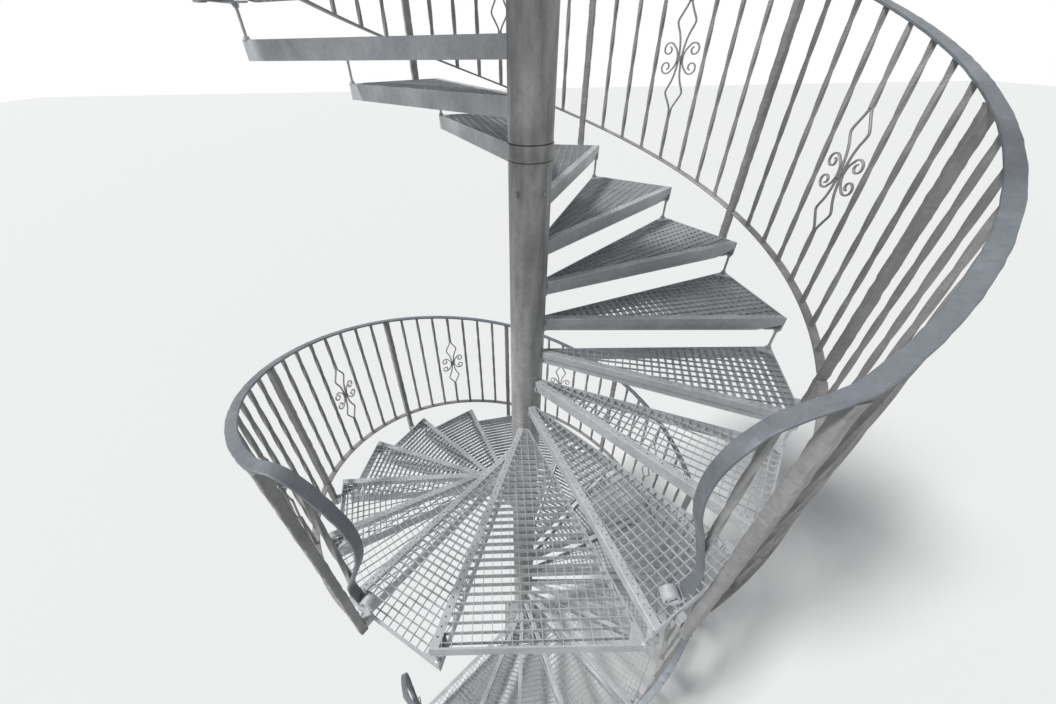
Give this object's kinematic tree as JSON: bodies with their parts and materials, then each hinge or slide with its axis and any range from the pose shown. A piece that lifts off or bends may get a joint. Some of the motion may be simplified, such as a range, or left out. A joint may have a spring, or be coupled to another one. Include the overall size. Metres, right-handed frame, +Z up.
{
  "type": "spiral staircase",
  "caption": "Galvanised steel spiral stair with open wedge grating treads on a centre pole and a scrolled outer railing.",
  "frame": {"origin": "on the pole's axis at the underside of the base plate, which is ground level", "axes": "+Z up along the pole, -Y towards the floors that the landings meet, +X to the right as seen from them"},
  "size_m": [2.4186, 2.4195, 6.574],
  "materials": {
    "pole_zinc": "matt, hot-dip galvanised",
    "tread_zinc": "matt, hot-dip galvanised",
    "rail_zinc": "matt, hot-dip galvanised"
  },
  "bodies": {
    "root": {"base_plate": "pole_zinc", "pole_ground": "pole_zinc", "pole_lower": "pole_zinc", "pole_middle": "pole_zinc", "pole_upper": "pole_zinc", "pole_cap": "pole_zinc", "landing_first": "tread_zinc", "landing_top": "tread_zinc", "tread_lower_01": "tread_zinc", "tread_lower_02": "tread_zinc", "tread_lower_03": "tread_zinc", "tread_lower_04": "tread_zinc", "tread_lower_05": "tread_zinc", "tread_lower_06": "tread_zinc", "tread_lower_07": "tread_zinc", "tread_lower_08": "tread_zinc", "tread_lower_09": "tread_zinc", "tread_lower_10": "tread_zinc", "tread_lower_11": "tread_zinc", "tread_lower_12": "tread_zinc", "tread_lower_13": "tread_zinc", "tread_lower_14": "tread_zinc", "tread_lower_15": "tread_zinc", "tread_lower_16": "tread_zinc", "tread_lower_17": "tread_zinc", "tread_upper_01": "tread_zinc", "tread_upper_02": "tread_zinc", "tread_upper_03": "tread_zinc", "tread_upper_04": "tread_zinc", "tread_upper_05": "tread_zinc", "tread_upper_06": "tread_zinc", "tread_upper_07": "tread_zinc", "tread_upper_08": "tread_zinc", "tread_upper_09": "tread_zinc", "tread_upper_10": "tread_zinc", "tread_upper_11": "tread_zinc", "tread_upper_12": "tread_zinc", "tread_upper_13": "tread_zinc", "tread_upper_14": "tread_zinc", "corner_rods_lower": "tread_zinc", "corner_rods_upper": "tread_zinc", "handrail_lower": "rail_zinc", "bottom_rail_lower": "rail_zinc", "posts_lower": "rail_zinc", "balusters_lower": "rail_zinc", "scroll_bars_lower": "rail_zinc", "handrail_upper": "rail_zinc", "bottom_rail_upper": "rail_zinc", "posts_upper": "rail_zinc", "balusters_upper": "rail_zinc", "scroll_bars_upper": "rail_zinc"}
  },
  "joints": []
}
